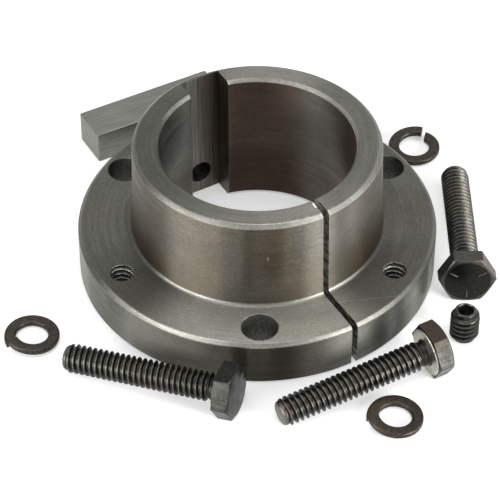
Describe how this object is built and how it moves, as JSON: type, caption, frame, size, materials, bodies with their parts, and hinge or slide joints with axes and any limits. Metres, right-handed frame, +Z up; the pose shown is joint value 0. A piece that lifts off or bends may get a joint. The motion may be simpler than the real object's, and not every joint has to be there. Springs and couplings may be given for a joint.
{
  "type": "quick disconnect bushing",
  "caption": "Split tapered bushing with a drilled and tapped flange and a keyed bore, shown with its key, cap screws, lock washers and set screw laid out around it.",
  "frame": {"origin": "middle of the set's footprint on the floor; the bushing's axis stands at x 1.09 mm, y 0.08 mm", "axes": "+Z up along the bushing's axis, from the flange's outer face to the small end of the taper; +Y away from the picture's camera; +X to its right"},
  "size_m": [0.1072, 0.113, 0.0333],
  "materials": {
    "bushing_steel": "turned and faced grey steel with fine tool marks and a thin film of oil",
    "key_steel": "cold drawn, dull grey",
    "cap_screw_oxide_left": "dark brown-black oxide, semi-gloss",
    "cap_screw_oxide_front": "dark brown-black oxide, semi-gloss",
    "cap_screw_oxide_right": "dark brown-black oxide, semi-gloss",
    "lock_washer_oxide_left": "dark brown-grey oxide, semi-gloss",
    "lock_washer_oxide_front": "dark brown-grey oxide, semi-gloss",
    "lock_washer_oxide_right": "dark brown-grey oxide, semi-gloss",
    "set_screw_oxide": "dark oxide, worn bright on the thread crests"
  },
  "bodies": {
    "root": {"bushing": "bushing_steel", "key": "key_steel", "cap_screw_left": "cap_screw_oxide_left", "cap_screw_front": "cap_screw_oxide_front", "cap_screw_right": "cap_screw_oxide_right", "lock_washer_left": "lock_washer_oxide_left", "lock_washer_front": "lock_washer_oxide_front", "lock_washer_right": "lock_washer_oxide_right", "set_screw": "set_screw_oxide"}
  },
  "joints": []
}
